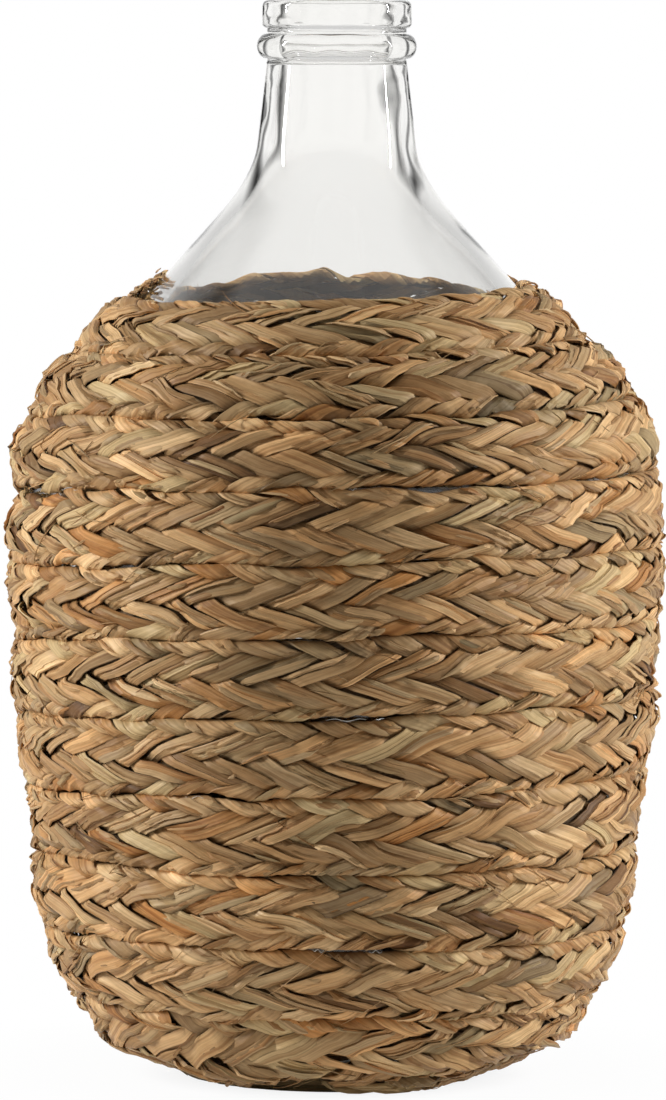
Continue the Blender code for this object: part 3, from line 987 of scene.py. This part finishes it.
def loose_strips(name, weave, rng, length, share, height, half_width, tone):
    """Thin strips laid by length along the band, share of its width and height over the glass."""
    share = share[..., None] + SLIVER_SHARES * half_width[..., None] / PLAIT_WIDTH
    length, height = (np.broadcast_to(grid[..., None], share.shape) for grid in (length, height))
    points = weave.strip(length, share, height)
    grey = rng.uniform(0, 0.5, len(tone))
    return strip_mesh(name, rng, points, length[..., 0], 0.001, (0.00012, 0.0003), tone, grey)


class DEMIJOHN_OT_plait(bpy.types.Operator):
    """Plait the cover: nine strands of folded leaf that pass over and under each other"""

    bl_idname = "demijohn.plait"
    bl_label = "Plaited strands"

    def execute(self, context):
        settings = context.scene.demijohn_plait
        weave = Weave(settings)
        material = leaf_material(settings)
        for mesh in (
            *(self.strand(weave, settings, strand) for strand in range(STRANDS)),
            self.slivers(weave, settings, "float_slivers", 4.15, 7.8, 1.1),
            self.slivers(weave, settings, "edge_slivers", -0.9, 1.45, 1.3),
            self.fibres(weave, settings),
            self.end_tips(weave, settings),
            self.start_tail(weave, settings),
        ):
            new_piece(mesh, material, "seagrass_plait")
        return {"FINISHED"}

    @staticmethod
    def strand(weave, settings, strand):
        """One strand from end to end, whose shape and colour change from one fold to the next."""
        start = 2 * strand * weave.cell
        first, last = -start / weave.cell, (weave.winding.length - start) / weave.cell
        folds = math.floor(first / TRAVERSE) - 1, math.ceil(last / TRAVERSE) + 1
        station = (np.arange(*folds)[:, None] * TRAVERSE + RING_STATIONS[None]).ravel()
        rng = np.random.default_rng((settings.seed, strand))
        first, last = first + rng.uniform(0.2, 1.2), last - rng.uniform(0.2, 2.4)
        station = station[(station > first) & (station < last)][:, None]
        choices = Choices(rng, folds, station)
        width = choices.trait("width") + choices.free(0.08)
        shove = choices.free(0.10)
        lift, roll, camber = (choices.trait(name) for name in ("lift", "roll", "camber"))
        thickness = choices.held(0.0002, settings.leaf_thickness, 0.0006, 0.0017)
        creases = choices.held(0.00028, columns=len(ACROSS_SHARES) - 2)
        poke = choices.trait("poke")
        from_end = np.minimum(station - station[0], station[-1] - station)
        width = width * (0.5 + 0.5 * smooth_step(from_end / 2))
        # One of its two leaves lies a step over the other
        halves = np.arange(len(ACROSS_SHARES)) >= len(ACROSS_SHARES) // 2
        sides = np.where(halves, 1, -1)
        shares = (choices.trait("parting") + PARTING_HALF_WIDTH * sides) * PARTING_SHARES
        shares = shares + ACROSS_SHARES
        step = choices.trait("step") * sides / 2
        across = shares * width + shove
        lifts = roll * shares + camber * (1 - 2 * shares**2) + step
        lifts[:, 1:-1] += creases
        from_fold = np.abs(station - np.round(station / TRAVERSE) * TRAVERSE)
        lifts = lift + lifts * (0.4 + 0.6 * smooth_step((from_fold - 0.6) / 1.4))
        points, over = weave.surface(start, station, across, lifts, poke)
        half = thickness / 2 * (1 - np.abs(shares) ** 6) ** 0.5
        tone = choices.trait("tone")
        tone = np.where(choices.evenly() > RUSTY_FROM, RUSTY_TONE, tone)
        grey, value = choices.trait("grey"), choices.trait("value")
        bleached = choices.evenly() > BLEACHED_FROM
        grey = np.where(bleached, BLEACHED_GREY, grey)
        value = np.where(bleached, BLEACHED_VALUE, value)
        browned = choices.evenly() > BROWNED_FROM
        tone, grey = np.where(browned, BROWNED_TONE, tone), np.where(browned, 0, grey)
        value = np.where(browned, BROWNED_VALUE, value)
        # Painted shade: darker where the leaf dives under another
        value = value - UNDER_SHADE * (1 - over) ** UNDER_SHADE_POWER
        value = value + choices.trait("value step") * sides / 2
        # Painted shade: a thin dark line along the leaf's two edges
        value[:, (0, -1)] -= EDGE_SHADE
        tone = tone + choices.trait("tone step") * sides / 2
        facts = leaf_facts(
            station * weave.cell * LEAF_STRETCH,
            shares * LEAF_HALF_WIDTH,
            choices.evenly() * 7 + strand + 11 * halves,
            np.stack((tone, np.broadcast_to(grey, value.shape), value), axis=-1),
            HIDDEN_SIDE,
        )
        return wrap_rings(f"leaf_strand_{strand + 1}", thicken(points, half, HIDDEN_SIDE), facts)

    @staticmethod
    def slivers(weave, settings, name, first, last, share):
        """Split-off strips that lie on the leaves from station first to last after each fold."""
        rng = np.random.default_rng((settings.seed, round(first * 100) + 500))
        traverses = int(weave.winding.length / weave.cell / TRAVERSE) - 3
        count, rings = int(share * STRANDS * traverses), 9
        even, stray = pickers(rng, count)
        strand, fold = (rng.integers(*span, (count, 1)) for span in ((0, STRANDS), (1, traverses)))
        t = np.linspace(0, 1, rings)
        from_end = np.minimum(t, 1 - t)
        cut_short = rng.uniform(0, 0.5, (2, count, 1)) * (rng.random((2, count, 1)) < 0.4)
        begin = first + cut_short[0] * (last - first)
        finish = last - cut_short[1] * (last - first)
        station = fold * TRAVERSE + begin + (finish - begin) * t
        half_width = even(0.16, 0.5) * (0.15 + 0.85 * smooth_step(from_end / 0.3))
        side = even(0.25, 0.95) * rng.choice((-1, 1), (count, 1))
        side = side + stray(0.12) * (2 * t - 1)
        across = SLIVER_SHARES * half_width[..., None] + side[..., None]
        lift = even(0.0007, 0.0014) + stray(0.0002) * (2 * t - 1)
        lift = lift - 0.0013 * (1 - smooth_step(from_end / 0.25))
        lift = lift[..., None] + stray(0.0003)[..., None] * SLIVER_SHARES
        start = 2 * strand[..., None] * weave.cell
        points, _ = weave.surface(start, station[..., None], across, lift, 0)
        tone, grey = tones(rng, 0.38, 0.22, count), tones(rng, -0.05, 0.35, count, 0.8)
        along = station * weave.cell
        return strip_mesh(name, rng, points, along, 0.0014, (0.0002, 0.00045), tone, grey)

    @staticmethod
    def fibres(weave, settings):
        """Thin fibres that have come loose on the rows and along their seams."""
        rng = np.random.default_rng((settings.seed, 91))
        count, rings = settings.fibres, 8
        even, stray = pickers(rng, count)
        t = np.linspace(-0.5, 0.5, rings)
        middle = even(0.05, weave.winding.length - 0.05)
        run = even(0.008, 0.026)
        slope = rng.choice((-1, 1), (count, 1)) * even(0.1, 0.5)
        length = middle + run * t
        share = even(-0.02, 1.02) + slope * run / PLAIT_WIDTH * t * 1.6
        share = share + stray(0.2) * t**2
        rise = even(0.0001, 0.0010) * np.cos(math.pi * t)
        crown = 1 - (2 * np.clip(share, 0, 1) - 1) ** 2
        height = (0.0070 + 0.0018 * crown + rise) * weave.thinned(length, share)
        half_width = even(0.00012, 0.00032) * (0.3 + 0.7 * np.cos(math.pi * t))
        tone = tones(rng, 0.45, 0.3, count)
        return loose_strips("loose_fibres", weave, rng, length, share, height, half_width, tone)

    @staticmethod
    def end_tips(weave, settings):
        """Dry tips of the leaves, cut off ragged at the end of the band."""
        rng = np.random.default_rng((settings.seed, 92))
        count, rings = 26, 8
        even, stray = pickers(rng, count)
        t = np.linspace(0, 1, rings)
        begin = weave.winding.length - even(0.012, 0.03)
        finish = weave.winding.length + even(-0.006, 0.007)
        length = begin + (finish - begin) * t
        share = even(0.05, 0.95) + stray(0.12) * t
        height = even(0.0012, 0.0058) * (1.15 - 0.6 * np.clip(share, 0, 1))
        height = np.maximum(height + stray(0.0006) * t, weave.FLOOR_CLEARANCE)
        half_width = even(0.0006, 0.0022) * (1 - 0.45 * t)
        tone = tones(rng, 0.72, 0.2, count)
        return loose_strips("cut_leaf_tips", weave, rng, length, share, height, half_width, tone)

    @staticmethod
    def start_tail(weave, settings):
        """The flat tail of the band under its first turn, and strips under the lowest seam."""
        rng = np.random.default_rng((settings.seed, 93))
        count, tail_count, rings = 160, 70, 14
        even, stray = pickers(rng, count)
        t = np.linspace(0, 1, rings)
        in_seam = np.arange(count)[:, None] >= tail_count
        seam_run = weave.length_at(np.radians((530, 690)))
        begin = np.where(in_seam, even(*seam_run), -even(0.02, 0.125))
        length = begin + even(0.03, 0.05) * t
        seam = weave.winding.seam(weave.angle_at(length)) + even(-0.014, 0.004)
        reach = np.where(in_seam, seam, weave.winding.bottom + even(-0.0105, 0.0015))
        reach = reach + stray(0.0012) * (t - 0.5)
        pointed = 0.5 + 0.5 * smooth_step(np.minimum(t, 1 - t) / 0.15)
        half_width = even(0.0014, 0.0030) * pointed
        reach = reach[..., None] + SLIVER_SHARES * half_width[..., None]
        height = np.broadcast_to(even(0.0008, 0.0034)[..., None], reach.shape)
        angle = np.broadcast_to(weave.angle_at(length)[..., None], reach.shape)
        points = weave.laid(angle, reach, height)
        tone, grey = tones(rng, 0.5, 0.15, count), rng.uniform(0.5, 1, count)
        return strip_mesh("tucked_tail", rng, points, length, 0.002, (0.0003, 0.0005), tone, grey)


class DEMIJOHN_OT_glue(bpy.types.Operator):
    """Draw the threads of clear glue that show in the seams"""

    bl_idname = "demijohn.glue"
    bl_label = "Glue threads"

    def execute(self, context):
        weave = Weave(context.scene.demijohn_plait)
        rng = np.random.default_rng(94)
        t = np.linspace(-0.5, 0.5, 14)
        azimuths, heights, runs = np.transpose(GLUE_THREADS)
        places = [weave.seam_near(*place) for place in zip(np.radians(azimuths), heights)]
        length = weave.length_at(places)[:, None] + runs[:, None] * t
        waves = rng.uniform(0, FULL_TURN, (len(runs), 1)) + 9 * t
        share = 1.03 + 0.014 * np.sin(waves)
        height = 0.0060 + 0.0006 * np.cos(1.3 * waves)
        half_width = 0.00022 * (0.4 + 0.6 * np.cos(math.pi * t))
        tone = np.zeros(len(runs))
        mesh = loose_strips("glue_threads", weave, rng, length, share, height, half_width, tone)
        material, _, _ = new_material(
            "clear_glue", Base_Color=(0.9, 0.88, 0.82, 1), Roughness=0.18, Transmission_Weight=0.35
        )
        new_piece(mesh, material, "seagrass_plait")
        return {"FINISHED"}


def panel_levels(graph):
    """Levels of the white panels and dark gaps round the bottle, even at its front and overhead."""
    way = graph.add("ShaderNodeTexCoord").outputs["Generated"]
    x, y, z = graph.add("ShaderNodeSeparateXYZ", Vector=way).outputs
    # The angle from the side towards the back, the same on the left and on the right
    turn = graph.maths("ARCTAN2", y, graph.maths("ABSOLUTE", x))
    turn = graph.maths("ADD", turn, graph.remap(z, 0, 1, 0, PANEL_SLANT))
    turn = graph.maths("MULTIPLY", graph.maths("MINIMUM", turn, math.pi / 2), PANELS)
    panel = graph.remap(graph.maths("COSINE", turn), *PANEL_MAP)
    right, front = (
        graph.remap(graph.vectors("DOT_PRODUCT", way, towards, output="Value"), *spans)
        for towards, spans in ((LIT_FROM_RIGHT, RIGHT_MAP), (EVEN_FRONT, FRONT_MAP))
    )
    lighter = graph.maths("MAXIMUM", panel, right)
    under_ceiling = graph.maths("MULTIPLY", lighter, graph.remap(z, *CEILING_MAP))
    return graph.maths("MAXIMUM", under_ceiling, front)


class DEMIJOHN_OT_stage(bpy.types.Operator):
    """Set the white floor, the lamps, the surroundings and the camera"""

    bl_idname = "demijohn.stage"
    bl_label = "Stage"

    def execute(self, context):
        settings = context.scene.demijohn_stage
        self.floor()
        self.surroundings(context, settings)
        for name, place, size, share in LAMPS:
            self.lamp(name, place, size, share * settings.side_light)
        self.camera(context, settings)
        context.scene.view_settings.view_transform = "Standard"
        return {"FINISHED"}

    @staticmethod
    def floor():
        """A white disc that is seen as pure white but takes the bottle's shadow near its foot."""
        shape = bmesh.new()
        bmesh.ops.create_circle(shape, cap_ends=True, segments=96, radius=FLOOR_RADIUS)
        mesh = mesh_from(shape, "floor")
        floor = placed("floor", mesh)
        material, graph, shader = new_material(
            "white_floor", Base_Color=FLOOR_COLOUR, Roughness=0.9, Specular_IOR_Level=0
        )
        glow = graph.add("ShaderNodeEmission", Strength=1.0, Color=WHITE)
        place = graph.add("ShaderNodeTexCoord").outputs["Object"]
        distance = graph.vectors("LENGTH", place, output="Value")
        level = graph.ramp(distance, [(stop, (white,) * 3) for stop, white in FLOOR_GLOW])
        by_camera, by_glass = graph.rays()
        by_glass = graph.maths("MULTIPLY", by_glass, graph.remap(distance, *FLOOR_IN_GLASS, 0, 1))
        seen = graph.maths("MAXIMUM", by_camera, by_glass)
        share = graph.maths("MULTIPLY", seen, level)
        surface = graph.choose(share, shader.outputs[0], glow.outputs[0])
        graph.set(graph.tree.nodes["Material Output"], Surface=surface)
        mesh.materials.append(material)

    @staticmethod
    def surroundings(context, settings):
        """White for the camera, panels for the glass and an even, low level for all else."""
        world = bpy.data.worlds.new("surroundings")
        context.scene.world = world
        world.use_nodes = True
        graph = Graph(world.node_tree)
        plain = graph.set(graph.tree.nodes["Background"], Color=WHITE, Strength=settings.fill)
        white = graph.add("ShaderNodeBackground", Color=WHITE, Strength=1.0)
        panels = graph.add("ShaderNodeBackground", Color=WHITE, Strength=panel_levels(graph))
        by_camera, by_glass = graph.rays()
        lit = graph.choose(by_glass, plain.outputs[0], panels.outputs[0])
        seen = graph.choose(by_camera, lit, white.outputs[0])
        graph.set(graph.tree.nodes["World Output"], Surface=seen)

    @staticmethod
    def lamp(name, place, size, power):
        data = bpy.data.lights.new(name, "AREA")
        data.shape = "RECTANGLE"
        data.size, data.size_y = size
        data.energy = power
        lamp = placed(name, data)
        lamp.visible_transmission = False
        aim = (Vector(LAMP_AIM) - Vector(place)).to_track_quat("-Z", "Y")
        lamp.matrix_world = Matrix.Translation(place) @ aim.to_matrix().to_4x4()

    @staticmethod
    def camera(context, settings):
        data = bpy.data.cameras.new("camera")
        data.lens = settings.lens
        camera = placed("camera", data)
        pitch = Matrix.Rotation(math.pi / 2 - CAMERA_PITCH, 4, "X")
        turn = pitch @ Matrix.Rotation(CAMERA_ROLL, 4, "Z")
        place = (CAMERA_ASIDE, -settings.distance, settings.eye_height)
        camera.matrix_world = Matrix.Translation(place) @ turn
        context.scene.camera = camera


OPERATORS = (DEMIJOHN_OT_stage, DEMIJOHN_OT_glass, DEMIJOHN_OT_plait, DEMIJOHN_OT_glue)


class DEMIJOHN_PT_pieces(bpy.types.Panel):
    bl_label = "Demijohn"
    bl_idname = "DEMIJOHN_PT_pieces"
    bl_space_type = "VIEW_3D"
    bl_region_type = "UI"
    bl_category = "Demijohn"

    def draw(self, context):
        for operator in OPERATORS:
            self.layout.operator(operator.bl_idname)


CLASSES = (GlassSettings, PlaitSettings, StageSettings, *OPERATORS, DEMIJOHN_PT_pieces)


def register():
    for kind in CLASSES:
        bpy.utils.register_class(kind)
    bpy.types.Scene.demijohn_glass = PointerProperty(type=GlassSettings)
    bpy.types.Scene.demijohn_plait = PointerProperty(type=PlaitSettings)
    bpy.types.Scene.demijohn_stage = PointerProperty(type=StageSettings)


def unregister():
    del bpy.types.Scene.demijohn_stage
    del bpy.types.Scene.demijohn_plait
    del bpy.types.Scene.demijohn_glass
    for kind in reversed(CLASSES):
        bpy.utils.unregister_class(kind)


def main():
    register()
    bpy.ops.demijohn.stage()
    bpy.ops.demijohn.glass()
    bpy.ops.demijohn.plait()
    bpy.ops.demijohn.glue()


if __name__ == "__main__":
    main()
